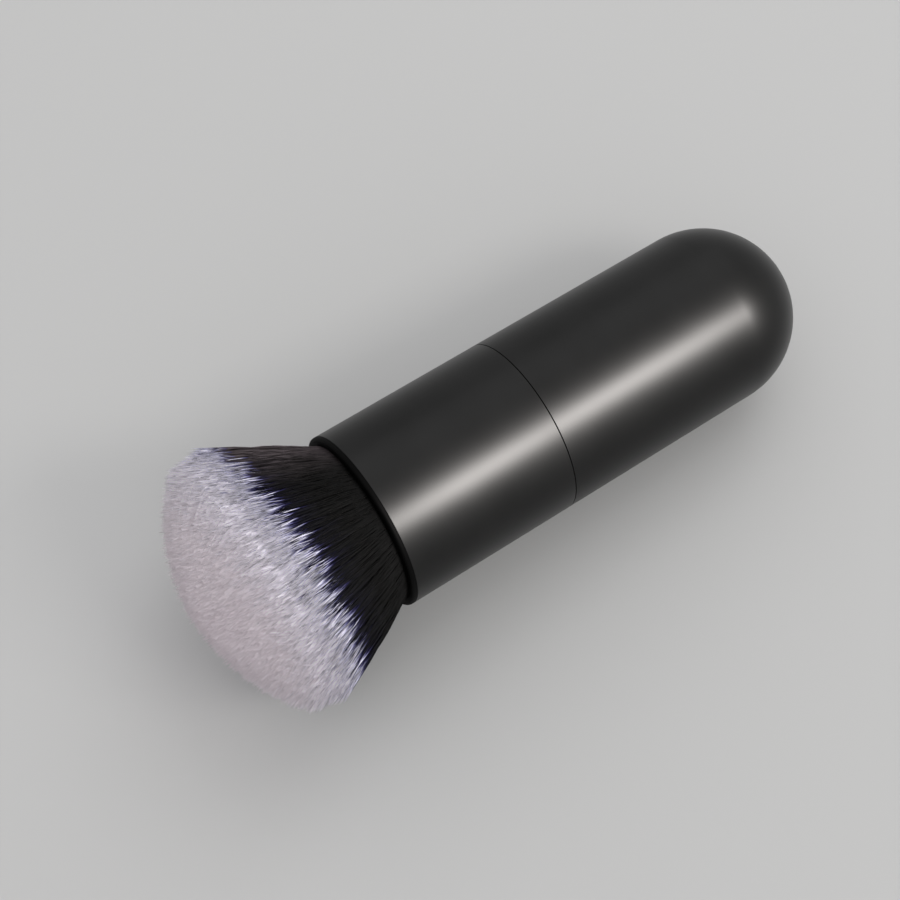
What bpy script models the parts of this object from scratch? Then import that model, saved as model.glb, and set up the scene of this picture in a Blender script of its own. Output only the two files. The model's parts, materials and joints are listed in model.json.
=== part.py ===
"""Powder brush lying on a table: two satin black tubes in line, a domed end and a flared, domed tuft.

Every piece is turned or grown along the brush's own axis, local +Z, which runs from the dome to the tips
and has its zero at the ferrule's front end. The root empty then lays that axis down along X, tips towards
-X, so that the dome and the lower side of the tuft both touch the table at z = 0.
"""

import math
import random

import bmesh
import bpy
import numpy as np

# Outside, in metres
BODY_RADIUS = 0.0155
FERRULE_LENGTH = 0.0308
HANDLE_BARREL_LENGTH = 0.0383
SEAM_GAP = 0.0003

# Tubes
FERRULE_WALL = 0.0008
HANDLE_WALL = 0.0008
TUBE_EDGE_CHAMFER = 0.0002

# Clearance between a piece and the one that it is fitted into or stands on
FIT_GAP = 0.0003

# Bristle cup, with a rounded rim that seats on the ferrule's front end
CUP_WALL = 0.0006
CUP_FLOOR = 0.0012
CUP_RIM_THICKNESS = 0.0006
CUP_RIM_OUTER_ROUND_SHARE = 0.85
CUP_RIM_INNER_ROUND_SHARE = 0.5

# Hair roots
SLICE_TOP_DEPTH = 0.0025
SLICE_THICKNESS = 0.0020
THREAD_DIAMETER = 0.0007
THREAD_TURNS = 3
BINDING_BELOW_TOP = 0.0030

# Tuft beyond the ferrule
TUFT_RIM_RADIUS = 0.0235
TUFT_RIM_HEIGHT = 0.0197
TIP_DOME_HEIGHT = 0.0105
TIP_DOME_POWER = 2.4
FLAT_DEPTH = 0.0005

# Strands stand in rings round one strand in the middle, and each bundle ends at the ring given here
BUNDLE_LAST_RINGS = {"bristles_core": 4, "bristles_middle": 7, "bristles_skirt": 10}
STRANDS_PER_RING_STEP = 6
STRAND_SIDES = 3
ROOT_WIDTH_SHARE = 0.36
BELLY_WIDTH_SHARE = 0.44
TIP_WIDTH_SHARE = 0.22
BELLY_HEIGHT_SHARE = 0.86
SCATTER_SHARE = 0.05
TIP_SCATTER = 0.0005
SCATTER_SEED = 11

# Connector plug
CONNECTOR_FRONT_REACH = 0.0100
CONNECTOR_REAR_REACH = 0.0140
CONNECTOR_CHAMFER = 0.0008
CONNECTOR_WALL = 0.0024
CONNECTOR_FLOOR = 0.0024
GLUE_GROOVE_DEPTH = 0.0011
GLUE_GROOVE_WIDTH = 0.0030

# Counterweight, a slug in the handle's bore that stops just short of the dome
WEIGHT_LENGTH = 0.0100
WEIGHT_CHAMFER = 0.0008
WEIGHT_STAND_OFF = 0.0015

# Facets
TURN_STEPS = 40
SLICE_TURN_STEPS = 20
DOME_ARC_STEPS = 12
INNER_DOME_ARC_STEPS = 8
ROUND_ARC_STEPS = 3
THREAD_ARC_STEPS = 3

# Points closer than this are one point
MERGE_DISTANCE = 0.000001

# Worked out from the sizes above. Heights run along the brush's axis from the ferrule's front end.
FERRULE_BORE_RADIUS = BODY_RADIUS - FERRULE_WALL
HANDLE_BORE_RADIUS = BODY_RADIUS - HANDLE_WALL
CUP_RADIUS = FERRULE_BORE_RADIUS - FIT_GAP
CUP_BORE_RADIUS = CUP_RADIUS - CUP_WALL
BUNDLE_RADIUS = CUP_BORE_RADIUS - FIT_GAP
SEAM_FRONT = -FERRULE_LENGTH
SEAM_REAR = SEAM_FRONT - SEAM_GAP
DOME_CENTRE = SEAM_REAR - HANDLE_BARREL_LENGTH
CONNECTOR_TOP = SEAM_FRONT + CONNECTOR_FRONT_REACH
CONNECTOR_BOTTOM = SEAM_REAR - CONNECTOR_REAR_REACH
CONNECTOR_RADIUS = min(FERRULE_BORE_RADIUS, HANDLE_BORE_RADIUS) - FIT_GAP
CONNECTOR_BORE_RADIUS = CONNECTOR_RADIUS - CONNECTOR_WALL
CONNECTOR_BORE_TOP = CONNECTOR_TOP - CONNECTOR_FLOOR
CUP_RIM_TOP = FIT_GAP + CUP_RIM_THICKNESS
CUP_BOTTOM = CONNECTOR_TOP + FIT_GAP
CUP_FLOOR_TOP = CUP_BOTTOM + CUP_FLOOR
SLICE_TOP = -SLICE_TOP_DEPTH
SLICE_BOTTOM = SLICE_TOP - SLICE_THICKNESS
PLUG_TOP = SLICE_BOTTOM - FIT_GAP
PLUG_BOTTOM = CUP_FLOOR_TOP + FIT_GAP
LAST_RING = max(BUNDLE_LAST_RINGS.values())
RING_PITCH = BUNDLE_RADIUS / (LAST_RING + 1 / 2)
TIP_HEIGHT = TUFT_RIM_HEIGHT + TIP_DOME_HEIGHT
WEIGHT_RADIUS = HANDLE_BORE_RADIUS - FIT_GAP
WEIGHT_BOTTOM = DOME_CENTRE + WEIGHT_STAND_OFF
WEIGHT_TOP = WEIGHT_BOTTOM + WEIGHT_LENGTH


def lying_tilt():
    """Slope of the brush's axis with the dome on the table and the tuft pressed flat on it."""
    along = TUFT_RIM_HEIGHT - DOME_CENTRE
    reach = math.hypot(along, TUFT_RIM_RADIUS)
    return math.atan2(TUFT_RIM_RADIUS, along) - math.asin((BODY_RADIUS + FLAT_DEPTH) / reach)


def emptied_scene():
    for obj in list(bpy.data.objects):
        bpy.data.objects.remove(obj)


def new_collection(name):
    collection = bpy.data.collections.new(name)
    bpy.context.scene.collection.children.link(collection)
    return collection


def material(name, colour, roughness, metallic=0.0):
    made = bpy.data.materials.new(name)
    made.use_nodes = True
    shader = made.node_tree.nodes["Principled BSDF"]
    shader.inputs["Base Color"].default_value = (*colour, 1.0)
    shader.inputs["Roughness"].default_value = roughness
    shader.inputs["Metallic"].default_value = metallic
    made.diffuse_color = (*colour, 1.0)
    return made


def arc(centre_x, centre_z, radius, start, end, steps):
    """Points of a round stretch of a profile, with the angles in degrees from +X towards +Z."""
    angles = [math.radians(start + (end - start) * i / steps) for i in range(steps + 1)]
    return [(centre_x + radius * math.cos(a), centre_z + radius * math.sin(a)) for a in angles]


def turned(name, profile, finish, closed_ring=False, steps=TURN_STEPS):
    """A solid of revolution. The profile runs up its inner side and then down its outer side."""
    mesh = bpy.data.meshes.new(name)
    count = len(profile)
    edges = [(i, i + 1) for i in range(count - 1)]
    if closed_ring:
        edges.append((count - 1, 0))
    mesh.from_pydata([(x, 0, z) for x, z in profile], edges, [])
    obj = bpy.data.objects.new(name, mesh)
    obj.data.materials.append(finish)
    screw = obj.modifiers.new("Turn", "SCREW")
    screw.steps = steps
    screw.render_steps = steps
    screw.use_merge_vertices = True
    screw.merge_threshold = MERGE_DISTANCE
    screw.use_smooth_shade = True
    return obj


def placed(obj):
    """The object in the brush's collection, riding on the empty that lays the brush down."""
    brush.objects.link(obj)
    obj.parent = root
    return obj


def ferrule():
    profile = [
        (FERRULE_BORE_RADIUS, 0),
        (BODY_RADIUS - TUBE_EDGE_CHAMFER, 0),
        (BODY_RADIUS, -TUBE_EDGE_CHAMFER),
        (BODY_RADIUS, SEAM_FRONT + TUBE_EDGE_CHAMFER),
        (BODY_RADIUS - TUBE_EDGE_CHAMFER, SEAM_FRONT),
        (FERRULE_BORE_RADIUS, SEAM_FRONT),
    ]
    return turned("ferrule", profile, satin_black, closed_ring=True)


def handle_shell():
    inner = arc(0, DOME_CENTRE, HANDLE_BORE_RADIUS, -90, 0, INNER_DOME_ARC_STEPS)
    outer = arc(0, DOME_CENTRE, BODY_RADIUS, 0, -90, DOME_ARC_STEPS)
    front_edge = [
        (HANDLE_BORE_RADIUS, SEAM_REAR),
        (BODY_RADIUS - TUBE_EDGE_CHAMFER, SEAM_REAR),
        (BODY_RADIUS, SEAM_REAR - TUBE_EDGE_CHAMFER),
    ]
    return turned("handle_shell", on_axis(inner + front_edge + outer), satin_black)


def on_axis(profile):
    """The profile with its two ends exactly on the axis, where an arc leaves them a rounding error away."""
    return [(0, profile[0][1]), *profile[1:-1], (0, profile[-1][1])]


def bristle_cup():
    """A thin moulded cup whose rim is flush with the ferrule's outside and stands just proud of its end."""
    inner = CUP_RIM_INNER_ROUND_SHARE * CUP_RIM_THICKNESS
    outer = CUP_RIM_OUTER_ROUND_SHARE * CUP_RIM_THICKNESS
    rounded_rim = [
        *arc(CUP_BORE_RADIUS + inner, CUP_RIM_TOP - inner, inner, 180, 90, ROUND_ARC_STEPS),
        *arc(BODY_RADIUS - outer, CUP_RIM_TOP - outer, outer, 90, 0, ROUND_ARC_STEPS),
        (BODY_RADIUS, FIT_GAP),
        (CUP_RADIUS, FIT_GAP),
    ]
    profile = [
        (0, CUP_FLOOR_TOP),
        (CUP_BORE_RADIUS, CUP_FLOOR_TOP),
        *rounded_rim,
        (CUP_RADIUS, CUP_BOTTOM),
        (0, CUP_BOTTOM),
    ]
    return turned("bristle_cup", profile, black_plastic)


def binding_span():
    """Top and bottom of the waist that the thread is tied in."""
    top = PLUG_TOP - BINDING_BELOW_TOP
    return top, top - THREAD_TURNS * THREAD_DIAMETER - 2 * FIT_GAP


def root_plug():
    waist = BUNDLE_RADIUS - THREAD_DIAMETER - FIT_GAP
    waist_top, waist_bottom = binding_span()
    profile = [
        (0, PLUG_TOP),
        (BUNDLE_RADIUS, PLUG_TOP),
        (BUNDLE_RADIUS, waist_top),
        (waist, waist_top),
        (waist, waist_bottom),
        (BUNDLE_RADIUS, waist_bottom),
        (BUNDLE_RADIUS, PLUG_BOTTOM),
        (0, PLUG_BOTTOM),
    ]
    return turned("root_plug", profile, epoxy)


def binding_thread():
    """Three turns of thread side by side, drawn tight into one band with a rounded ridge for each turn."""
    inner = BUNDLE_RADIUS - THREAD_DIAMETER
    half = THREAD_DIAMETER / 2
    top = binding_span()[0] - FIT_GAP
    ridges = []
    for turn in range(THREAD_TURNS):
        middle = top - half - turn * THREAD_DIAMETER
        ridge = arc(inner + half, middle, half, 90, -90, THREAD_ARC_STEPS)
        ridges += ridge if not ridges else ridge[1:]
    bottom = top - THREAD_TURNS * THREAD_DIAMETER
    return turned("binding_thread", [(inner, bottom), (inner, top), *ridges], thread, closed_ring=True)


def glue_groove(top):
    """Outline of one groove in the connector's side, from its upper edge to its lower edge."""
    floor = CONNECTOR_RADIUS - GLUE_GROOVE_DEPTH
    bottom = top - GLUE_GROOVE_WIDTH
    return [(CONNECTOR_RADIUS, top), (floor, top), (floor, bottom), (CONNECTOR_RADIUS, bottom)]


def groove_tops():
    """Upper edges of the grooves in the middle of the length that the ferrule and the handle each cover."""
    in_ferrule = (CONNECTOR_TOP + SEAM_FRONT) / 2
    in_handle = (SEAM_REAR + CONNECTOR_BOTTOM) / 2
    return in_ferrule + GLUE_GROOVE_WIDTH / 2, in_handle + GLUE_GROOVE_WIDTH / 2


def connector_plug():
    """A moulded cup, open to the rear, with a glue groove round each half."""
    front_groove, rear_groove = groove_tops()
    profile = [
        (0, CONNECTOR_TOP),
        (CONNECTOR_RADIUS - CONNECTOR_CHAMFER, CONNECTOR_TOP),
        (CONNECTOR_RADIUS, CONNECTOR_TOP - CONNECTOR_CHAMFER),
        *glue_groove(front_groove),
        *glue_groove(rear_groove),
        (CONNECTOR_RADIUS, CONNECTOR_BOTTOM + CONNECTOR_CHAMFER),
        (CONNECTOR_RADIUS - CONNECTOR_CHAMFER, CONNECTOR_BOTTOM),
        (CONNECTOR_BORE_RADIUS, CONNECTOR_BOTTOM),
        (CONNECTOR_BORE_RADIUS, CONNECTOR_BORE_TOP),
        (0, CONNECTOR_BORE_TOP),
    ]
    return turned("connector_plug", profile, black_plastic)


def glue_ring(name, groove_top):
    inner = CONNECTOR_RADIUS - GLUE_GROOVE_DEPTH + FIT_GAP
    top = groove_top - FIT_GAP
    bottom = groove_top - GLUE_GROOVE_WIDTH + FIT_GAP
    profile = [(inner, bottom), (inner, top), (CONNECTOR_RADIUS, top), (CONNECTOR_RADIUS, bottom)]
    return turned(name, profile, epoxy, closed_ring=True)


def counterweight():
    shoulder = WEIGHT_RADIUS - WEIGHT_CHAMFER
    profile = [
        (0, WEIGHT_TOP),
        (shoulder, WEIGHT_TOP),
        (WEIGHT_RADIUS, WEIGHT_TOP - WEIGHT_CHAMFER),
        (WEIGHT_RADIUS, WEIGHT_BOTTOM + WEIGHT_CHAMFER),
        (shoulder, WEIGHT_BOTTOM),
        (0, WEIGHT_BOTTOM),
    ]
    return turned("counterweight", profile, steel)


def weight_adhesive():
    """A cast bed that fills the dome up to the foot of the counterweight."""
    radius = HANDLE_BORE_RADIUS - FIT_GAP
    top = WEIGHT_BOTTOM - FIT_GAP
    start = math.degrees(math.asin((top - DOME_CENTRE) / radius))
    dome = arc(0, DOME_CENTRE, radius, start, -90, INNER_DOME_ARC_STEPS)
    return turned("weight_adhesive", on_axis([(0, top), *dome]), epoxy)


def strand_points(ring, turn, scatter):
    """Centre and half width of one strand at its root, at the cup's rim, at its belly and at its tip."""
    share = ring / LAST_RING
    free = TUFT_RIM_HEIGHT + TIP_DOME_HEIGHT * (1 - share**TIP_DOME_POWER)
    free += scatter.uniform(-TIP_SCATTER, 0)
    sideways = scatter.uniform(-SCATTER_SHARE, SCATTER_SHARE) * RING_PITCH
    outermost = BUNDLE_RADIUS - RING_PITCH / 2
    outermost_at_rim = TUFT_RIM_RADIUS - TIP_WIDTH_SHARE * RING_PITCH
    points = []
    for height, width_share in (
        (SLICE_TOP - SLICE_THICKNESS / 2, ROOT_WIDTH_SHARE),
        (CUP_RIM_TOP, ROOT_WIDTH_SHARE),
        (BELLY_HEIGHT_SHARE * free, BELLY_WIDTH_SHARE),
        (free, TIP_WIDTH_SHARE),
    ):
        flare = max(height - CUP_RIM_TOP, 0) / (TUFT_RIM_HEIGHT - CUP_RIM_TOP)
        spread = outermost + (outermost_at_rim - outermost) * flare
        growth = spread / outermost
        x, y = share * spread, sideways * growth
        centre = (
            x * math.cos(turn) - y * math.sin(turn),
            x * math.sin(turn) + y * math.cos(turn),
            height,
        )
        points.append((centre, width_share * RING_PITCH * growth))
    return points


def strand_section():
    """The strands' cross-section, an outline of unit size that each strand scales to its own width."""
    data = bpy.data.curves.new("strand section", "CURVE")
    data.dimensions = "2D"
    outline = data.splines.new("POLY")
    outline.points.add(STRAND_SIDES - 1)
    for i, point in enumerate(outline.points):
        angle = math.tau * i / STRAND_SIDES
        point.co = (math.cos(angle), math.sin(angle), 0, 1)
    outline.use_cyclic_u = True
    section = bpy.data.objects.new("strand section", data)
    helpers.objects.link(section)
    return as_helper(section)


def as_helper(obj):
    obj.hide_render = True
    obj.display_type = "WIRE"
    return obj


def strands_mesh(name, first_ring, last_ring, section, scatter):
    """All strands of one bundle as closed tubes in one mesh."""
    data = bpy.data.curves.new(name, "CURVE")
    data.dimensions = "3D"
    data.bevel_mode = "OBJECT"
    data.bevel_object = section
    data.use_fill_caps = True
    for ring in range(first_ring, last_ring + 1):
        in_ring = max(1, STRANDS_PER_RING_STEP * ring)
        for i in range(in_ring):
            strand = strand_points(ring, math.tau * (i + ring / 2) / in_ring, scatter)
            spline = data.splines.new("POLY")
            spline.points.add(len(strand) - 1)
            for point, (centre, half_width) in zip(spline.points, strand):
                point.co = (*centre, 1)
                point.radius = half_width
    curve = bpy.data.objects.new(name, data)
    helpers.objects.link(curve)
    graph = bpy.context.evaluated_depsgraph_get()
    mesh = bpy.data.meshes.new_from_object(curve.evaluated_get(graph))
    mesh.name = name
    bpy.data.objects.remove(curve)
    shape = bmesh.new()
    shape.from_mesh(mesh)
    bmesh.ops.remove_doubles(shape, verts=shape.verts, dist=MERGE_DISTANCE)
    bmesh.ops.recalc_face_normals(shape, faces=shape.faces)
    shape.to_mesh(mesh)
    shape.free()
    return mesh


def backing_slice(name, first_ring, last_ring):
    """The slice of cast epoxy that holds one bundle: a disc for the core, a ring for each of the others."""
    outer = BUNDLE_RADIUS
    if last_ring < LAST_RING:
        outer = (last_ring + 1 / 2) * RING_PITCH - FIT_GAP / 2
    if first_ring == 0:
        profile = [(0, SLICE_TOP), (outer, SLICE_TOP), (outer, SLICE_BOTTOM), (0, SLICE_BOTTOM)]
        return turned(name, profile, hair, steps=SLICE_TURN_STEPS)
    inner = (first_ring - 1 / 2) * RING_PITCH + FIT_GAP / 2
    profile = [(inner, SLICE_BOTTOM), (inner, SLICE_TOP), (outer, SLICE_TOP), (outer, SLICE_BOTTOM)]
    return turned(name, profile, hair, closed_ring=True, steps=SLICE_TURN_STEPS)


def table_cutter():
    """Everything under the table's surface, near the brush."""
    half = TIP_HEIGHT - DOME_CENTRE + BODY_RADIUS
    shape = bmesh.new()
    bmesh.ops.create_cube(shape, size=2 * half)
    bmesh.ops.translate(shape, verts=shape.verts, vec=(0, 0, -half))
    mesh = bpy.data.meshes.new("below the table")
    shape.to_mesh(mesh)
    shape.free()
    cutter = bpy.data.objects.new("below the table", mesh)
    helpers.objects.link(cutter)
    return as_helper(cutter)


def boolean(obj, operation, other):
    step = obj.modifiers.new(operation.title(), "BOOLEAN")
    step.operation = operation
    step.solver = "EXACT"
    step.object = other


def bristles(name, first_ring, last_ring, section, scatter):
    strands = bpy.data.objects.new(
        name + " strands", strands_mesh(name, first_ring, last_ring, section, scatter)
    )
    helpers.objects.link(strands)
    as_helper(strands).parent = root
    bundle = backing_slice(name, first_ring, last_ring)
    boolean(bundle, "UNION", strands)
    return bundle


def world_points(obj):
    graph = bpy.context.evaluated_depsgraph_get()
    mesh = obj.evaluated_get(graph).data
    points = np.empty(len(mesh.vertices) * 3, np.float32)
    mesh.vertices.foreach_get("co", points)
    matrix = np.array(obj.matrix_world)
    return points.reshape(-1, 3) @ matrix[:3, :3].T + matrix[:3, 3]


def centred_on_origin(pieces):
    """Moves the root so that the middle of the brush's box lies over the origin."""
    bpy.context.view_layer.update()
    points = np.concatenate([world_points(piece) for piece in pieces])
    middle = (points.min(axis=0) + points.max(axis=0)) / 2
    root.location.x -= middle[0]
    root.location.y -= middle[1]
    bpy.context.view_layer.update()


emptied_scene()
brush = new_collection("powder brush")
helpers = new_collection("cutters and guides")
satin_black = material("satin black anodised aluminium", (0.016, 0.017, 0.017), 0.32, 0.6)
black_plastic = material("black moulded plastic", (0.012, 0.012, 0.013), 0.5)
epoxy = material("cast epoxy", (0.55, 0.44, 0.24), 0.25)
thread = material("waxed thread", (0.30, 0.25, 0.18), 0.8)
steel = material("turned steel", (0.45, 0.45, 0.46), 0.35, 1.0)
hair = material("two-tone synthetic hair", (0.62, 0.58, 0.66), 0.6)

root = bpy.data.objects.new("powder brush root", None)
brush.objects.link(root)
root.rotation_euler = (0, lying_tilt() - math.pi / 2, 0)
root.location = (0, 0, BODY_RADIUS - DOME_CENTRE * math.sin(lying_tilt()))

front_groove_top, rear_groove_top = groove_tops()
parts = [
    placed(obj)
    for obj in (
        ferrule(),
        handle_shell(),
        bristle_cup(),
        root_plug(),
        binding_thread(),
        connector_plug(),
        glue_ring("glue_ring_front", front_groove_top),
        glue_ring("glue_ring_rear", rear_groove_top),
        counterweight(),
        weight_adhesive(),
    )
]

strand_outline = strand_section()
below_table = table_cutter()
random_scatter = random.Random(SCATTER_SEED)
first = 0
for bundle_name, last in BUNDLE_LAST_RINGS.items():
    bundle = placed(bristles(bundle_name, first, last, strand_outline, random_scatter))
    boolean(bundle, "DIFFERENCE", below_table)
    parts.append(bundle)
    first = last + 1
centred_on_origin(parts)
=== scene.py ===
# Looks of a powder brush that lies on a pale floor: satin black tubes and a flared tuft of two-tone hair.
import json
import math

import bmesh
import bpy
import numpy as np
from mathutils import Matrix, Vector


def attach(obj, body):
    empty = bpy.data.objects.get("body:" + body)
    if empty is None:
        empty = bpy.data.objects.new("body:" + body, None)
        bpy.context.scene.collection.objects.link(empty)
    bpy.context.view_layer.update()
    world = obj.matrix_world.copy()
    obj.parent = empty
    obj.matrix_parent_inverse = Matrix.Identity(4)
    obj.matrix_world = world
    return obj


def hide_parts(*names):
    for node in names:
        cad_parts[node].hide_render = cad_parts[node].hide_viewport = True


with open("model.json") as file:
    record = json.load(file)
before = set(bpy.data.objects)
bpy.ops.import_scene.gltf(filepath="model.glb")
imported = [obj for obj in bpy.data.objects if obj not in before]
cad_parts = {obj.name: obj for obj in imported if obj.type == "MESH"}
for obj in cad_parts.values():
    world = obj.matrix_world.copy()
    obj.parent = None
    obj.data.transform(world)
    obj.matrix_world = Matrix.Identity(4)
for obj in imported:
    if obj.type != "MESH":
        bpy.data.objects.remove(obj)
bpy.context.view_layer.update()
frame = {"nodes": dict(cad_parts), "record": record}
mm = 0.001


def report(done):
    print("powder brush:", done)


def nodePoints(name):
    mesh = frame["nodes"][name].data
    points = np.empty(len(mesh.vertices) * 3, np.float32)
    mesh.vertices.foreach_get("co", points)
    return points.reshape(-1, 3).astype(float)


# The brush's own axis runs through the middles of its two turned tubes, from the handle to the tips.
ferruleMiddle = nodePoints("ferrule").mean(axis=0)
tipward = ferruleMiddle - nodePoints("handle_shell").mean(axis=0)
tipward /= np.linalg.norm(tipward)
sideways = np.array([0.0, 1.0, 0.0])
upward = np.cross(sideways, tipward)
mouth = ferruleMiddle + tipward * ((nodePoints("ferrule") - ferruleMiddle) @ tipward).max()

# Brush space: x is up, y is across, and z runs from zero at the ferrule's front end to the tips.
turnToBrush = np.array([upward, sideways, tipward])
brushSpace = Matrix.Translation(mouth) @ Matrix(turnToBrush.T.tolist()).to_4x4()


def along(name):
    # where a node begins and ends on the axis
    heights = (nodePoints(name) - mouth) @ tipward
    return heights.min(), heights.max()


def reach(name):
    # how far from the axis a node comes
    away = nodePoints(name) - mouth
    return np.linalg.norm(away - np.outer(away @ tipward, tipward), axis=1).max()


bodyRadius = reach("ferrule")
handleBottom, handleTop = along("handle_shell")
seamMiddle = (along("ferrule")[0] + handleTop) / 2
domeCentre = handleBottom + bodyRadius
cupBottom, rimTop = along("bristle_cup")
report("frame read")


# Colours are written as sRGB hex, and this turns them to the linear values that nodes take.
def linear(hexColour):
    channels = [int(hexColour[i : i + 2], 16) / 255 for i in (1, 3, 5)]
    return [c / 12.92 if c <= 0.04045 else ((c + 0.055) / 1.055) ** 2.4 for c in channels] + [1.0]


# Adds one node: values for its inputs, other nodes' outputs to link to them, and its own settings.
def addNode(tree, kind, inputs=None, links=None, **settings):
    made = tree.nodes.new(kind)
    for name, value in settings.items():
        setattr(made, name, value)
    for name, value in (inputs or {}).items():
        made.inputs[name].default_value = value
    for name, output in (links or {}).items():
        tree.links.new(output, made.inputs[name])
    return made


def newMaterial(name, inputs):
    made = bpy.data.materials.new(name)
    made.use_nodes = True
    shader = made.node_tree.nodes["Principled BSDF"]
    for socket, value in inputs.items():
        shader.inputs[socket].default_value = value
    return made, made.node_tree, shader


# Most of Blender's noise lies between these two, and its waves are tau / waveFactor / Scale apart
patterns = {"noiseFrom": 0.3, "noiseTo": 0.7, "noiseDetail": 3.0, "waveFactor": 20}


def grain(tree, size, low=0.0, high=1.0):
    # noise in the object's own space, whose grains are about as wide as size
    place = addNode(tree, "ShaderNodeTexCoord").outputs["Object"]
    fineness = {"Scale": 1 / size, "Detail": patterns["noiseDetail"]}
    noise = addNode(tree, "ShaderNodeTexNoise", fineness, {"Vector": place})
    ends = {"From Min": patterns["noiseFrom"], "From Max": patterns["noiseTo"], "To Min": low, "To Max": high}
    return addNode(tree, "ShaderNodeMapRange", ends, {"Value": noise.outputs["Fac"]}).outputs["Result"]


def surfaced(tree, shader, share, colours, height, depth):
    # a colour between two hex values, with a fine relief; a colour mix has inputs 6 and 7 and output 2
    ends = {6: linear(colours[0]), 7: linear(colours[1])}
    mix = addNode(tree, "ShaderNodeMix", ends, {"Factor": share}, data_type="RGBA")
    tree.links.new(mix.outputs[2], shader.inputs["Base Color"])
    relief = addNode(tree, "ShaderNodeBump", {"Distance": depth, "Strength": 1.0}, {"Height": height})
    tree.links.new(relief.outputs["Normal"], shader.inputs["Normal"])


# Aluminium, bead blasted and anodised black: a dark metal with a wide, soft, even sheen.
blackAluminium = {
    "dark": "#2C2C2C",
    "light": "#2F2F2F",
    "cloud": 9.0 * mm,
    "smooth": 0.375,
    "rough": 0.385,
    "blastGrain": 0.25 * mm,  # the real grain is 0.05 mm wide, drawn as coarse as it needs to show
    "blastDepth": 0.001 * mm,
}


def anodisedAluminium():
    look = blackAluminium
    made, tree, shader = newMaterial("aluminium, blasted and anodised black", {"Metallic": 1.0})
    tree.links.new(grain(tree, look["cloud"], look["smooth"], look["rough"]), shader.inputs["Roughness"])
    cloud, pits = grain(tree, look["cloud"]), grain(tree, look["blastGrain"])
    surfaced(tree, shader, cloud, (look["dark"], look["light"]), pits, look["blastDepth"])
    return made


# ABS, moulded in black: a dull, almost soot black plastic with the fine pebbling of its mould.
blackPlastic = {
    "dark": "#050505",
    "light": "#080808",
    "cloud": 3.0 * mm,
    "inputs": {"Roughness": 0.55, "IOR": 1.54, "Specular IOR Level": 0.03},
    "pebble": 0.3 * mm,
    "pebbleDepth": 0.004 * mm,
}


def mouldedPlastic():
    look = blackPlastic
    made, tree, shader = newMaterial("ABS, moulded black", look["inputs"])
    cloud, pebbles = grain(tree, look["cloud"]), grain(tree, look["pebble"])
    surfaced(tree, shader, cloud, (look["dark"], look["light"]), pebbles, look["pebbleDepth"])
    return made


# Epoxy, cast: honey-coloured and glossy, cloudy with small bubbles.
castResin = {
    "clear": "#B99A5C",
    "cloudy": "#D8C697",
    "bubble": 0.7 * mm,
    "inputs": {"Roughness": 0.22, "IOR": 1.55},
    "ripple": 2.0 * mm,
    "rippleDepth": 0.02 * mm,
}


def castEpoxy():
    look = castResin
    made, tree, shader = newMaterial("epoxy, cast", look["inputs"])
    bubbles, ripples = grain(tree, look["bubble"]), grain(tree, look["ripple"])
    surfaced(tree, shader, bubbles, (look["clear"], look["cloudy"]), ripples, look["rippleDepth"])
    return made


# Polyester thread, twisted and waxed: a dull cream cord whose twist shows as slanting ridges.
bindingCord = {
    "valley": "#8E8168",
    "ridge": "#D2C6A8",
    "twist": 0.45 * mm,
    "unevenness": 1.5,
    "twistDepth": 0.05 * mm,
    "inputs": {"Roughness": 0.7},
}


def waxedThread():
    look = bindingCord
    made, tree, shader = newMaterial("polyester thread, twisted and waxed", look["inputs"])
    place = addNode(tree, "ShaderNodeTexCoord").outputs["Object"]
    scale = math.tau / patterns["waveFactor"] / look["twist"]
    waves = {"Scale": scale, "Distortion": look["unevenness"], "Detail": 2.0}
    twist = addNode(tree, "ShaderNodeTexWave", waves, {"Vector": place}, bands_direction="DIAGONAL")
    ridges = twist.outputs["Fac"]
    surfaced(tree, shader, ridges, (look["valley"], look["ridge"]), ridges, look["twistDepth"])
    return made


# Mild steel, turned: bright, with the fine rings that the lathe tool leaves.
turnedBar = {
    "dark": "#8D8D90",
    "light": "#B4B4B6",
    "toolPitch": 0.3 * mm,
    "toolWander": 0.2,
    "toolDepth": 0.008 * mm,
    "smooth": 0.28,
    "rough": 0.42,
    "stain": 4.0 * mm,
}


def turnedSteel():
    look = turnedBar
    made, tree, shader = newMaterial("mild steel, turned", {"Metallic": 1.0})
    place = addNode(tree, "ShaderNodeTexCoord").outputs["Object"]
    scale = math.tau / patterns["waveFactor"] / look["toolPitch"]
    rings = {"Scale": scale, "Distortion": look["toolWander"]}
    cut = addNode(tree, "ShaderNodeTexWave", rings, {"Vector": place}, bands_direction="X").outputs["Fac"]
    tree.links.new(grain(tree, look["stain"], look["smooth"], look["rough"]), shader.inputs["Roughness"])
    stain = grain(tree, look["stain"])
    surfaced(tree, shader, stain, (look["dark"], look["light"]), cut, look["toolDepth"])
    return made


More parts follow.
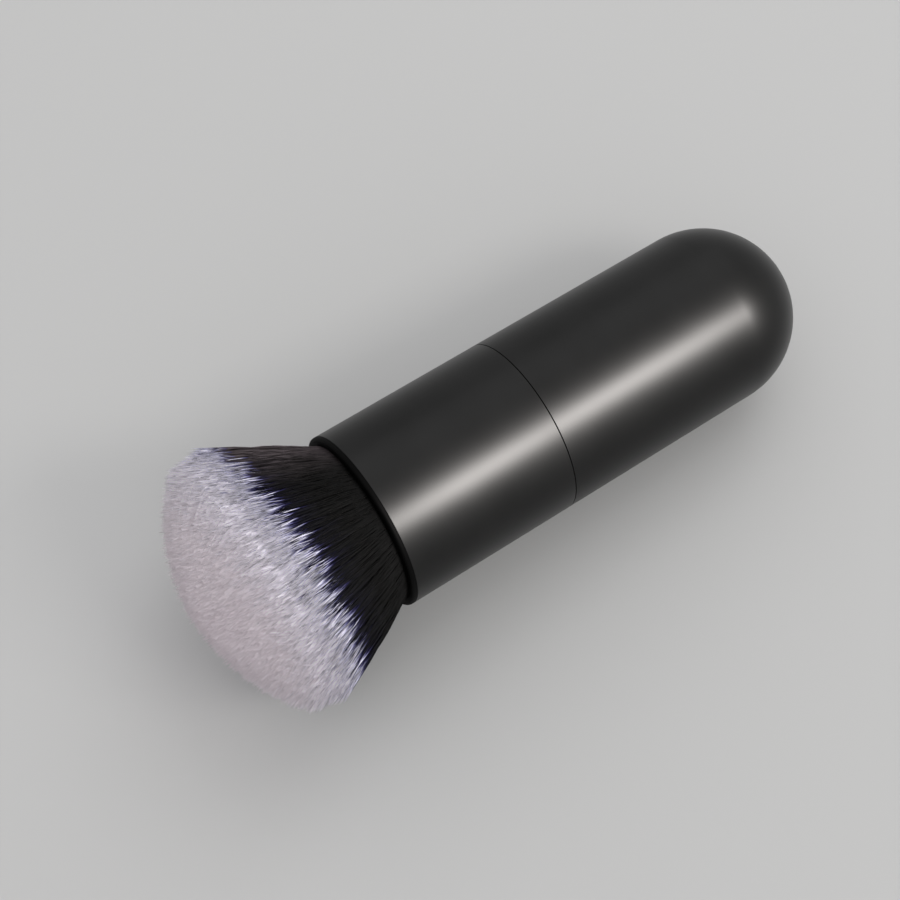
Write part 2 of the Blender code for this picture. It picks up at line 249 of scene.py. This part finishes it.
# PBT fibre, drawn to a taper and dipped in black dye: pale lilac tips, inky blue where the dye fades out,
# and a faint sheen. The map's u tells one lock of hair from the next, and its v is the place on the hair,
# with the edge of the dye at a half.
fibre = {
    "mapName": "OFBake",
    "mapColumns": 192,
    "columnSpan": (0.1, 0.9),  # what a hair takes up of its column
    "mapHeight": 44.0 * mm,  # length of hair that v = 0 to 1 stands for
    "mapEdge": 0.002,  # what stays free at both ends of v
    "inputs": {
        "Roughness": 0.6,
        "Specular IOR Level": 0.06,
        "Sheen Weight": 0.06,
        "Sheen Roughness": 0.15,
        "Sheen Tint": linear("#FFF4EC"),
    },
    "stretch": 2.6 * mm,  # length of hair over which its shade changes
    "locksApart": 97.0,  # how far apart two locks are taken from the noise that gives their shades
    "noiseFrom": 0.25,
    "noiseTo": 0.75,
    "darkest": -1.0,
    "lightest": 0.85,
    # how much of that a stretch of hair is darker or lighter, by distance from the dye's edge: partly the
    # locks' own tone, partly painted shade in the gaps between locks
    "unlikeness": {"from": 4.0 * mm, "to": 13.0 * mm, "first": 0.7, "last": 0.12},
    "paintedSheen": "#574F52",  # painted sheen: a brownish light laid on the black hair on one side of the tuft, where grazing light falls
    "paintedSheenFrom": 3.0 * mm,
    "paintedSheenTo": 16.0 * mm,
    # colour at each distance from the dye's edge
    "stops": (
        (-6.0 * mm, "#0C0C0C"),
        (-1.2 * mm, "#0F0E1B"),
        (0.0 * mm, "#26234E"),
        (0.6 * mm, "#7674A4"),
        (1.4 * mm, "#DAD8EF"),
        (4.0 * mm, "#F5F1FD"),
        (8.0 * mm, "#F8F2FC"),
        (12.0 * mm, "#F5EBF2"),
        (20.0 * mm, "#F3E7EE"),
    ),
}


def onMap(distance):
    # place on the map's v of a distance from the dye's edge
    return 0.5 + distance / fibre["mapHeight"]


def lockShades(tree, mapU, mapV):
    # a factor for the colour, which tells the locks apart near the dye and fades out on the dome; its darker
    # streaks are partly the locks' own tone and partly painted shade between locks
    look = fibre
    columns = addNode(tree, "ShaderNodeMath", {1: look["mapColumns"]}, {0: mapU}, operation="MULTIPLY")
    column = addNode(tree, "ShaderNodeMath", links={0: columns.outputs[0]}, operation="FLOOR")
    oneLock = addNode(tree, "ShaderNodeTexWhiteNoise", links={"W": column.outputs[0]}, noise_dimensions="1D")
    apart = {1: (look["locksApart"], 0.0, 0.0)}
    across = addNode(tree, "ShaderNodeVectorMath", apart, {0: oneLock.outputs["Color"]}, operation="MULTIPLY")
    stretches = {1: look["mapHeight"] / look["stretch"]}
    level = addNode(tree, "ShaderNodeMath", stretches, {0: mapV}, operation="MULTIPLY")
    spot = addNode(tree, "ShaderNodeCombineXYZ", links={"X": across.outputs[0], "Y": level.outputs[0]})
    fineness = {"Scale": 1.0, "Detail": 1.0}
    place = {"Vector": spot.outputs[0]}
    streak = addNode(tree, "ShaderNodeTexNoise", fineness, place, noise_dimensions="2D")
    ends = {
        "From Min": look["noiseFrom"],
        "From Max": look["noiseTo"],
        "To Min": look["darkest"],
        "To Max": look["lightest"],
    }
    swing = addNode(tree, "ShaderNodeMapRange", ends, {"Value": streak.outputs["Fac"]})
    unlike = look["unlikeness"]
    ends = {
        "From Min": onMap(unlike["from"]),
        "From Max": onMap(unlike["to"]),
        "To Min": unlike["first"],
        "To Max": unlike["last"],
    }
    most = addNode(tree, "ShaderNodeMapRange", ends, {"Value": mapV})
    swings = {0: swing.outputs["Result"], 1: most.outputs["Result"]}
    return addNode(tree, "ShaderNodeMath", {2: 1.0}, swings, operation="MULTIPLY_ADD").outputs[0]


def dyeAndPaintedSheen(tree, mapV):
    # the dye's colours along the hair, lightened on one side of the tuft by a painted brownish sheen
    look = fibre
    dye = addNode(tree, "ShaderNodeValToRGB", links={"Fac": mapV})
    ramp = dye.color_ramp
    while len(ramp.elements) < len(look["stops"]):
        ramp.elements.new(1.0)
    for element, (distance, colour) in zip(ramp.elements, look["stops"]):
        element.position = onMap(distance)
        element.color = linear(colour)
    # painted sheen: the black hair turns brownish grey across the tuft towards +Y, standing in for grazing
    # light
    place = addNode(tree, "ShaderNodeTexCoord").outputs["Object"]
    across = addNode(tree, "ShaderNodeSeparateXYZ", links={"Vector": place}).outputs["Y"]
    ends = {"From Min": look["paintedSheenFrom"], "From Max": look["paintedSheenTo"]}
    sheenSide = addNode(tree, "ShaderNodeMapRange", ends, {"Value": across}, interpolation_type="SMOOTHSTEP")
    paintedSheenColour = {7: linear(look["paintedSheen"])}
    mixed = {"Factor": sheenSide.outputs["Result"], 6: dye.outputs["Color"]}
    lighten = {"data_type": "RGBA", "blend_type": "LIGHTEN"}
    return addNode(tree, "ShaderNodeMix", paintedSheenColour, mixed, **lighten).outputs[2]


def dyedFibre():
    made, tree, shader = newMaterial("PBT fibre, tapered and dipped in black dye", fibre["inputs"])
    place = addNode(tree, "ShaderNodeUVMap", uv_map=fibre["mapName"]).outputs["UV"]
    split = addNode(tree, "ShaderNodeSeparateXYZ", links={"Vector": place})
    mapU, mapV = split.outputs["X"], split.outputs["Y"]
    shaded = {0: dyeAndPaintedSheen(tree, mapV), 3: lockShades(tree, mapU, mapV)}
    tint = addNode(tree, "ShaderNodeVectorMath", links=shaded, operation="SCALE")
    tree.links.new(tint.outputs["Vector"], shader.inputs["Base Color"])
    return made


finishes = {
    "satin_black_metal": anodisedAluminium(),
    "black_plastic": mouldedPlastic(),
    "epoxy": castEpoxy(),
    "thread": waxedThread(),
    "steel": turnedSteel(),
    "hair": dyedFibre(),
}
for part in frame["record"]["subparts"]:
    nodeMesh = frame["nodes"][part["node"]].data
    nodeMesh.materials.clear()
    nodeMesh.materials.append(finishes[part["material_slot"]])
report("materials made")


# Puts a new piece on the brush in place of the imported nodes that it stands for.
def addPiece(name, mesh, slot, *nodes):
    mesh.materials.append(finishes[slot])
    piece = bpy.data.objects.new(name, mesh)
    bpy.context.scene.collection.objects.link(piece)
    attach(piece, "root")
    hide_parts(*nodes)
    report(name + " made, with " + str(len(mesh.polygons)) + " faces")


# How finely the turned pieces are drawn
turning = {"steps": 180, "roundSteps": 8, "domeSteps": 48, "sharpFrom": 40}


def arc(radius, height, size, start, end, steps):
    # points of a round in a turned outline, with angles in degrees from square across towards the tips
    angles = np.radians(np.linspace(start, end, steps + 1))
    return [(radius + size * math.cos(a), height + size * math.sin(a)) for a in angles]


def turned(name, outline, closed=False):
    # turns an outline of (radius, height) pairs once round the brush's axis; a pair on it stays one point
    shape = bmesh.new()
    steps = turning["steps"]
    angles = [step * math.tau / steps for step in range(steps)]
    rings = []
    for radius, height in outline:
        if radius:
            ring = [(radius * math.cos(a), radius * math.sin(a), height) for a in angles]
            rings.append([shape.verts.new(point) for point in ring])
        else:
            rings.append([shape.verts.new((0, 0, height))] * steps)
    pairs = list(zip(rings, rings[1:]))
    if closed:
        pairs.append((rings[-1], rings[0]))
    for one, other in pairs:
        for step in range(steps):
            corners = (one[step - 1], one[step], other[step], other[step - 1])
            shape.faces.new(list(dict.fromkeys(corners)))
    bmesh.ops.recalc_face_normals(shape, faces=shape.faces)
    shape.transform(brushSpace)
    mesh = bpy.data.meshes.new(name)
    shape.to_mesh(mesh)
    shape.free()
    mesh.shade_smooth()
    mesh.set_sharp_from_angle(angle=math.radians(turning["sharpFrom"]))
    return mesh


# The two tubes, truly round, with a fine butt joint between them.
tubes = {
    "wall": 0.8 * mm,
    "frontRound": 0.08 * mm,
    "seam": 0.13 * mm,
    "seamRound": 0.05 * mm,
}
bore = bodyRadius - tubes["wall"]
ferruleRear = seamMiddle + tubes["seam"] / 2
handleFront = seamMiddle - tubes["seam"] / 2


def ferruleTube():
    front, rear, steps = tubes["frontRound"], tubes["seamRound"], turning["roundSteps"]
    outline = [
        (bore, ferruleRear),
        (bore, 0),
        *arc(bodyRadius - front, -front, front, 90, 0, steps),
        *arc(bodyRadius - rear, ferruleRear + rear, rear, 0, -90, steps),
    ]
    return turned("ferrule_tube", outline, closed=True)


def handleTube():
    edge = tubes["seamRound"]
    inside = arc(0, domeCentre, bore, -90, 0, turning["domeSteps"])
    outside = arc(0, domeCentre, bodyRadius, 0, -90, turning["domeSteps"])
    outline = [
        (0, inside[0][1]),
        *inside[1:],
        (bore, handleFront),
        *arc(bodyRadius - edge, handleFront - edge, edge, 90, 0, turning["roundSteps"]),
        *outside[:-1],
        (0, outside[-1][1]),
    ]
    return turned("handle_tube", outline)


# The cup that holds the hair, with the rounded black rim that seats on the ferrule.
cup = {
    "bore": 13.8 * mm,
    "wall": 0.6 * mm,
    "floor": 1.2 * mm,
    "outerRound": 0.5 * mm,
    "innerRound": 0.3 * mm,
    "seat": 0.03 * mm,  # gap under the rim
}


def hairCup():
    outer, inner, steps = cup["outerRound"], cup["innerRound"], turning["roundSteps"]
    outline = [
        (0, cupBottom + cup["floor"]),
        (cup["bore"], cupBottom + cup["floor"]),
        *arc(cup["bore"] + inner, rimTop - inner, inner, 180, 90, steps),
        *arc(bodyRadius - outer, rimTop - outer, outer, 90, 0, steps),
        (bodyRadius, cup["seat"]),
        (cup["bore"] + cup["wall"], cup["seat"]),
        (cup["bore"] + cup["wall"], cupBottom),
        (0, cupBottom),
    ]
    return turned("hair_cup", outline)


addPiece("ferrule_tube", ferruleTube(), "satin_black_metal", "ferrule")
addPiece("handle_tube", handleTube(), "satin_black_metal", "handle_shell")
addPiece("hair_cup", hairCup(), "black_plastic", "bristle_cup")


# The tuft's outline. The outermost hairs run from the cup's bore to the rim, and the tips form a dome.
tuft = {
    "seed": 7,
    "mouthRadius": 13.73 * mm,
    "flareFrom": 0.3 * mm,
    "rimRadius": 23.8 * mm,
    "rimHeight": 21.1 * mm,
    "domeHeight": 11.1 * mm,
    "domePower": 1.72,
    "cornerFrom": 0.86,  # share of the radius at which the dome starts to round down to the sides
    "cornerDrop": 2.6 * mm,
    "lean": 1.06 * mm,  # how far over the rim is pushed
    "leanTowards": -3,  # degrees round the axis, from up towards +Y
    "floorGap": 0.1 * mm,
    "floorSoftness": 0.2 * mm,
}
# Height of the dye's edge above the mouth: it lies lowest at one side of the tuft and climbs round it.
dyeEdge = {
    "lowest": 13.5 * mm,
    "climb": 2.7 * mm,
    "clearTip": 1.7 * mm,  # length that stays white on every hair
    "lowestAt": -55,  # degrees round the axis
    "steepness": 1.0,
}
# Where the locks stand, from the middle of the tuft (0) to its outer edge (1), and where the hairs that
# are drawn start: a length below the tips, or down in the cup for those that show along their whole side.
bundles = {
    "core": {"node": "bristles_core", "span": (0.0, 0.43), "locks": 2700},
    "middle_inner": {"node": "bristles_middle", "span": (0.43, 0.585), "locks": 2300},
    "middle_outer": {"node": "bristles_middle", "span": (0.585, 0.71), "locks": 2350},
    "skirt_tips_inner": {"node": "bristles_skirt", "span": (0.71, 0.84), "locks": 2930},
    "skirt_tips_outer": {"node": "bristles_skirt", "span": (0.84, 0.955), "locks": 3000},
    "skirt_inner": {"node": "bristles_skirt", "span": (0.94, 0.965), "locks": 900, "fromCup": True},
    "skirt_middle": {"node": "bristles_skirt", "span": (0.965, 0.99), "locks": 900, "fromCup": True},
    "skirt_outer": {"node": "bristles_skirt", "span": (0.985, 1.02), "locks": 900, "fromCup": True},
}
lock = {
    "hairs": 3,
    "radius": 0.14 * mm,
    "placeScatter": 0.2 * mm,
    "gather": 0.4,  # how far the tips of a lock draw together
    "gatherOver": 4.0 * mm,
    "lengthScatter": 0.28 * mm,
    "bend": 0.14 * mm,
    "dyeReach": 2.8 * mm,  # how much further the dye reaches in the middle of a lock
    "dyeBack": 0.36,  # share of that reach by which all the dye is drawn back, to keep its edge in place
}
hair = {
    "radius": 0.075 * mm,
    "sides": 3,
    "taperOver": 2.6 * mm,
    "taperPower": 0.7,  # below 1 keeps the hair thick until close to its tip
    "lengthScatter": 0.3 * mm,
    "bend": 0.1 * mm,
    "dyeScatter": 0.85 * mm,
    "drawnFrom": 5.0 * mm,  # below the tip
    "loose": 0.7 * mm,  # how far a hair may stand off the tuft's outline
    "looseOver": 8.0 * mm,  # height over which it comes to that
    "strays": 0.02,  # share of the side hairs that stand off the tuft
    "strayReach": 0.045,
    "cupDepth": 1.5 * mm,
    "wave": 0.16 * mm,
    "waveLength": (7.0 * mm, 12.0 * mm),
    "tipSteps": (0.0, 0.5, 0.82, 1.0),  # shares of the drawn length
    "sideSteps": (0.0, 0.07, 0.15, 0.24, 0.33, 0.42, 0.51, 0.6, 0.69, 0.78, 0.87, 0.94, 1.0),
}
# Hairs are shaded partly as one soft surface, because light passes through and between real ones.
shading = {
    "softness": 0.65,  # share of the tuft's surface in it
    "inwardOwn": 1.5,  # how soon the sides of a hair that face into the tuft keep their own shading
    "passedLight": 0.35,  # how far it turns up, for the light that passes through the tuft
    "mostSlope": 0.75,  # how far it turns over towards the sides at the edge of the dome
    "sideTurn": 0.4,  # how far it turns back towards the cup on the sides
    "turnsOver": 7.0 * mm,  # length below the tips over which it goes from the sides to the dome
    "domeTo": 0.97,  # share of the tuft's radius within which all of a hair is shaded as dome
    "domeOver": 0.1,
}


def unit(vectors, least=1e-9):
    # directions of vectors, of which those shorter than least come out short
    return vectors / np.maximum(np.linalg.norm(vectors, axis=-1, keepdims=True), least)


def smooth(share):
    share = np.clip(share, 0, 1)
    return share * share * (3 - 2 * share)


def flare(height):
    # share of the rim's width that the tuft has at this height
    climb = np.maximum(height - tuft["flareFrom"], 0) / (tuft["rimHeight"] - tuft["flareFrom"])
    start = tuft["mouthRadius"] / tuft["rimRadius"]
    return start + (1 - start) * climb


def tipHeight(share):
    dome = tuft["domeHeight"] * (1 - np.minimum(share, 1) ** tuft["domePower"])
    corner = tuft["cornerDrop"] * smooth((share - tuft["cornerFrom"]) / (1 - tuft["cornerFrom"]))
    return tuft["rimHeight"] + dome - corner


def dyeHeight(angle):
    swing = 1 - np.cos(angle - math.radians(dyeEdge["lowestAt"]))
    return dyeEdge["lowest"] + dyeEdge["climb"] * np.tanh(dyeEdge["steepness"] * swing)


def mapPlace(height, angle, dyeShift):
    # where on the map's v this height falls on a hair whose dye reaches higher or lower than the edge
    return np.clip(onMap(height - dyeHeight(angle) - dyeShift), fibre["mapEdge"], 1 - fibre["mapEdge"])


def leant(points):
    # pushes brush-space points over with height, turns them to the floor's space and lifts them clear of it
    angle = math.radians(tuft["leanTowards"])
    push = tuft["lean"] * (np.maximum(points[..., 2], 0) / tuft["rimHeight"]) ** 2
    pushed = points.copy()
    pushed[..., 0] += push * math.cos(angle)
    pushed[..., 1] += push * math.sin(angle)
    world = pushed @ turnToBrush + mouth
    low, soft = tuft["floorGap"], tuft["floorSoftness"]
    world[..., 2] = low + soft * np.logaddexp(0, (world[..., 2] - low) / soft)
    return world


def facing(share, height, tip, place):
    # which way the tuft's surface faces at each point of a hair: across on the sides, and over at the tips
    slope = shading["mostSlope"] * np.minimum(share, 1) ** (tuft["domePower"] - 1)
    domeFacing = unit(np.stack([slope, np.ones_like(slope)], axis=-1))
    sideFacing = unit(np.array([1.0, -shading["sideTurn"]]))
    atTip = smooth((height - tip[:, None] + shading["turnsOver"]) / shading["turnsOver"])
    inDome = smooth((shading["domeTo"] - share) / shading["domeOver"])[:, None]
    over = np.maximum(atTip, inDome)[..., None]
    mixed = domeFacing[:, None] * over + sideFacing * (1 - over)
    outward = unit(place, 0.1 * mm)
    faced = np.concatenate([outward * mixed[..., :1], mixed[..., 1:]], axis=-1)
    return unit(faced @ turnToBrush + [0.0, 0.0, shading["passedLight"]], 0.1)


def softlyShaded(mesh, rings, faced):
    # mixes each ring point's own facing with the one that the tuft's surface has there
    own = unit(rings - rings.mean(axis=2, keepdims=True))
    agreed = (own * faced[:, :-1, None]).sum(axis=-1, keepdims=True)
    soft = shading["softness"] * smooth(1 + shading["inwardOwn"] * agreed)
    mixed = own * (1 - soft) + faced[:, :-1, None] * soft
    mixed = np.concatenate([mixed.reshape(len(rings), -1, 3), faced[:, -1:]], axis=1)
    mesh.normals_split_custom_set_from_vertices(unit(mixed, 0.001).reshape(-1, 3).tolist())


def grownMesh(name, rings, tips, columns, v, faced=None):
    # closed tubes in one mesh, each of rings of points and one point at its tip
    count, levels, sides = rings.shape[:3]
    corners = []  # (ring, side, side that the face belongs to)
    for s in range(sides):
        for r in range(levels - 1):
            corners.append([(r, s, s), (r, s + 1, s), (r + 1, s + 1, s)])
            corners.append([(r, s, s), (r + 1, s + 1, s), (r + 1, s, s)])
        corners.append([(levels - 1, s, s), (levels - 1, s + 1, s), (levels, s, s)])
    for s in range(1, sides - 1):
        corners.append([(0, s + 1, s), (0, s, s), (0, 0, s)])
    ring, side, strip = np.moveaxis(np.array(corners), -1, 0)
    oneTube = np.where(ring < levels, ring * sides + side % sides, levels * sides)
    perTube = levels * sides + 1
    faces = (np.arange(count)[:, None, None] * perTube + oneTube).reshape(-1)
    points = np.concatenate([rings.reshape(count, levels * sides, 3), tips[:, None]], axis=1)
    mesh = bpy.data.meshes.new(name)
    mesh.vertices.add(count * perTube)
    mesh.vertices.foreach_set("co", points.astype(np.float32).ravel())
    mesh.loops.add(len(faces))
    mesh.loops.foreach_set("vertex_index", faces.astype(np.int32))
    mesh.polygons.add(len(faces) // 3)
    mesh.polygons.foreach_set("loop_start", np.arange(0, len(faces), 3, dtype=np.int32))
    mesh.update(calc_edges=True)
    least, most = fibre["columnSpan"]
    within = np.where(ring < levels, least + (most - least) * (side - strip), 0.5)
    mapU = (columns[:, strip] + np.clip(within, least, most)) / fibre["mapColumns"]
    mapV = v[:, ring, strip]
    layer = mesh.uv_layers.new(name=fibre["mapName"])
    layer.data.foreach_set("uv", np.stack([mapU, mapV], axis=-1).astype(np.float32).ravel())
    mesh.shade_smooth()
    if faced is not None:
        softlyShaded(mesh, rings, faced)
    return mesh


def scattered(chance, each, count, size):
    # one random amount for each lock, given to all its hairs
    return np.repeat(chance.normal(0, size, (count, 2)), each, axis=0)


def disc(angle):
    # points on a circle of radius one
    return np.stack([np.cos(angle), np.sin(angle)], axis=1)


def ringsRound(middle, radius, turn):
    # rings of points round every middle but the last, each hair's turned by its own amount
    forward = unit(middle[:, -1] - middle[:, 0])
    side = unit(np.cross(forward, sideways))
    other = np.cross(forward, side)
    angle = turn[:, None] + np.arange(hair["sides"]) * math.tau / hair["sides"]
    ring = side[:, None] * np.cos(angle)[..., None] + other[:, None] * np.sin(angle)[..., None]
    return middle[:, :-1, None] + ring[:, None] * radius[..., None, None]


def keptIn(place, height):
    # draws hairs in that stand further off the tuft's outline than loose ones do
    loose = smooth((height - tuft["flareFrom"]) / hair["looseOver"]) * hair["loose"]
    most = tuft["rimRadius"] * flare(height) + loose
    away = np.maximum(np.linalg.norm(place, axis=-1), mm)
    return place * np.minimum(1, most / away)[..., None]


def hairMesh(name, bundle, chance):
    each, locks = lock["hairs"], bundle["locks"]
    count = locks * each
    fromCup = bundle.get("fromCup", False)

    # an even spiral of places for the locks, each a little off its place, and the hairs of each lock round it
    inner, outer = bundle["span"]
    share = np.sqrt(inner**2 + (outer**2 - inner**2) * (np.arange(locks) + 0.5) / locks)
    goldenAngle = math.pi * (3 - math.sqrt(5))
    angle = np.arange(locks) * goldenAngle
    share, angle = np.repeat(share, each), np.repeat(angle, each)
    root = tuft["rimRadius"] * share[:, None] * disc(angle)
    root += scattered(chance, each, locks, lock["placeScatter"])
    around = chance.random(count) * math.tau
    inLock = np.sqrt(chance.random(count))
    offset = lock["radius"] * inLock[:, None] * disc(around)

    # heights of each hair's points
    tip = tipHeight(share) + scattered(chance, each, locks, lock["lengthScatter"])[:, 0]
    tip -= np.abs(chance.normal(0, hair["lengthScatter"], count))
    low = np.full(count, -hair["cupDepth"]) if fromCup else tip - hair["drawnFrom"]
    steps = np.array(hair["sideSteps"] if fromCup else hair["tipSteps"])
    height = low[:, None] + (tip - low)[:, None] * steps
    belowTip = tip[:, None] - height
    nearTip = smooth(1 - belowTip / lock["gatherOver"])[..., None]

    # the hairs' middles: they flare from the cup, draw together at the tips, bend and wave
    place = root[:, None] + offset[:, None] * (1 - lock["gather"] * nearTip)
    place *= flare(height)[..., None]
    bend = scattered(chance, each, locks, lock["bend"]) + chance.normal(0, hair["bend"], (count, 2))
    place += bend[:, None] * nearTip**2
    if fromCup:
        waves = math.tau / chance.uniform(*hair["waveLength"], (count, 1, 2))
        phase = chance.random((count, 1, 2)) * math.tau
        place += hair["wave"] * np.sin(waves * height[..., None] + phase)
        stray = (chance.random(count) < hair["strays"])[:, None]
        place *= 1 + (stray * hair["strayReach"] * smooth(height / tuft["rimHeight"]))[..., None]
    place = keptIn(place, height)
    middle = leant(np.concatenate([place, height[..., None]], axis=-1))

    # tubes round them, which taper to a point
    taper = np.clip(belowTip[:, :-1] / hair["taperOver"], 0, 1) ** hair["taperPower"]
    rings = ringsRound(middle, hair["radius"] * taper, chance.random(count) * math.tau)

    # the dye reaches furthest in the middle of a lock, so that its edge is a comb of spikes
    dyeShift = np.abs(scattered(chance, each, locks, lock["dyeReach"])[:, 0]) * (1 - inLock**2)
    dyeShift += chance.normal(0, hair["dyeScatter"], count) - lock["dyeReach"] * lock["dyeBack"]
    dyeShift = np.minimum(dyeShift, tip - dyeHeight(angle) - dyeEdge["clearTip"])
    v = mapPlace(height, angle[:, None], dyeShift[:, None])
    v = np.repeat(v[..., None], hair["sides"], axis=2)
    columns = np.repeat(chance.integers(0, fibre["mapColumns"], (locks, 1)), each, axis=0)
    columns = np.repeat(columns, hair["sides"], axis=1)
    return grownMesh(name, rings, middle[:, -1], columns, v, facing(share, height, tip, place))


# The closed body of packed hair under the tips, which fills the tuft from the cup to the dome.
packed = {
    "depth": 1.0 * mm,  # below the tips
    "sideInset": 0.8 * mm,
    "cornerInset": 0.4 * mm,
    "bottom": -2.2 * mm,
    "sideRows": 14,
    "domeRows": 26,
    "strips": 512,
    "furrow": 0.06 * mm,
}


def packedHair(name, chance):
    corner = tipHeight(1) - packed["depth"]
    heights = np.linspace(0, corner, packed["sideRows"])
    towardsCorner = smooth(heights / corner * 2 - 1)
    inset = packed["sideInset"] + (packed["cornerInset"] - packed["sideInset"]) * towardsCorner
    sides = tuft["rimRadius"] * flare(heights) - inset
    rows = [(sides[0], packed["bottom"]), *zip(sides, heights)]
    outside = tuft["rimRadius"] - packed["cornerInset"]
    for share in np.linspace(1, 0, packed["domeRows"])[1:-1]:
        height = tipHeight(share) - packed["depth"]
        rows.append((outside * share * flare(height), height))
    radius, height = np.array(rows).T[..., None]
    angle = np.arange(packed["strips"]) * math.tau / packed["strips"]
    furrowed = radius + chance.normal(0, packed["furrow"], packed["strips"]) * smooth(radius / outside)
    points = [furrowed * np.cos(angle), furrowed * np.sin(angle), np.broadcast_to(height, furrowed.shape)]
    rings = leant(np.stack(points, axis=-1))[None]
    tip = leant(np.array([[0.0, 0.0, tipHeight(0) - packed["depth"]]]))
    dyeShift = chance.normal(0, hair["dyeScatter"], packed["strips"])
    v = mapPlace(np.append(height, height[-1:], axis=0), angle, dyeShift)[None]
    columns = chance.integers(0, fibre["mapColumns"], (1, packed["strips"]))
    return grownMesh(name, rings, tip, columns, v)


chance = np.random.default_rng(tuft["seed"])
tuftNodes = ("bristles_core", "bristles_middle", "bristles_skirt")
addPiece("packed_hair", packedHair("packed_hair", chance), "hair", *tuftNodes)
for name, bundle in bundles.items():
    addPiece("hair_" + name, hairMesh("hair_" + name, bundle, chance), "hair", bundle["node"])


# Floor, light and camera
stage = {"floorColour": "#C7C7C7", "floorSize": 4.0, "world": 0.70}
key = {
    "direction": (0.355, -0.609, 0.709),
    "distance": 0.9,
    "length": 0.40,
    "width": 0.21,
    "radiance": 5.5,
    "colour": "#FFFCF7",
}
# The same light again for the gloss alone, which draws the streak on the metal
gloss = {**key, "distance": 0.88, "radiance": 61.0, "colour": "#FFFAF6", "lightsDiffuse": False}
# A wide light from above the domed end, whose soft shadow falls beyond the tips
back = {
    "direction": (0.45, 0.2, 0.87),
    "distance": 0.9,
    "length": 0.5,
    "width": 0.5,
    "radiance": 1.3,
    "colour": "#FFFFFF",
    "lightsGloss": False,
}
fill = {
    "direction": (0.357, 0.538, 0.764),
    "distance": 0.9,
    "length": 1.1,
    "width": 0.6,
    "radiance": 0.45,
    "colour": "#FFFFFF",
}
view = {
    "azimuth": 34.339,
    "elevation": 67.518,
    "distance": 300.875 * mm,
    "target": (-7.402 * mm, 4.368 * mm, 15.0 * mm),
    "nearest": 10 * mm,
    "lens": 72,
    "sensor": 36,
}


def paleFloor():
    mesh = bpy.data.meshes.new("floor")
    shape = bmesh.new()
    bmesh.ops.create_grid(shape, x_segments=1, y_segments=1, size=stage["floorSize"] / 2)
    shape.to_mesh(mesh)
    shape.free()
    paper = {"Base Color": linear(stage["floorColour"]), "Roughness": 0.9, "Specular IOR Level": 0.0}
    mesh.materials.append(newMaterial("paper, matt and pale", paper)[0])
    floor = bpy.data.objects.new("floor", mesh)
    bpy.context.scene.collection.objects.link(floor)


def softbox(name, lamp):
    data = bpy.data.lights.new(name, "AREA")
    data.shape = "RECTANGLE"
    data.size = lamp["length"]
    data.size_y = lamp["width"]
    data.color = linear(lamp["colour"])[:3]
    data.energy = lamp["radiance"] * math.pi * lamp["length"] * lamp["width"]
    light = bpy.data.objects.new(name, data)
    bpy.context.scene.collection.objects.link(light)
    light.visible_diffuse = lamp.get("lightsDiffuse", True)
    light.visible_glossy = lamp.get("lightsGloss", True)
    # it faces the middle of the brush, with its length along the brush
    direction = Vector(lamp["direction"]).normalized()
    axis = -Vector(tipward)
    length = (axis - direction * axis.dot(direction)).normalized()
    turn = Matrix([length, direction.cross(length), direction]).transposed().to_4x4()
    place = direction * lamp["distance"] + Vector((0, 0, bodyRadius))
    light.matrix_world = Matrix.Translation(place) @ turn


def camera():
    data = bpy.data.cameras.new("camera")
    data.lens = view["lens"]
    data.sensor_width = view["sensor"]
    data.clip_start = view["nearest"]
    eye = bpy.data.objects.new("camera", data)
    bpy.context.scene.collection.objects.link(eye)
    azimuth, elevation = math.radians(view["azimuth"]), math.radians(view["elevation"])
    level = math.cos(elevation)
    forward = Vector((math.sin(azimuth) * level, math.cos(azimuth) * level, -math.sin(elevation)))
    eye.location = Vector(view["target"]) - forward * view["distance"]
    eye.rotation_euler = forward.to_track_quat("-Z", "Y").to_euler()
    bpy.context.scene.camera = eye


def whiteStudio():
    world = bpy.data.worlds.new("studio")
    bpy.context.scene.world = world
    world.use_nodes = True
    sky = world.node_tree.nodes["Background"]
    sky.inputs["Color"].default_value = (1, 1, 1, 1)
    sky.inputs["Strength"].default_value = stage["world"]


paleFloor()
softbox("key", key)
softbox("gloss", gloss)
softbox("fill", fill)
softbox("back", back)
whiteStudio()
camera()
bpy.context.scene.view_settings.view_transform = "Standard"
report("stage set")
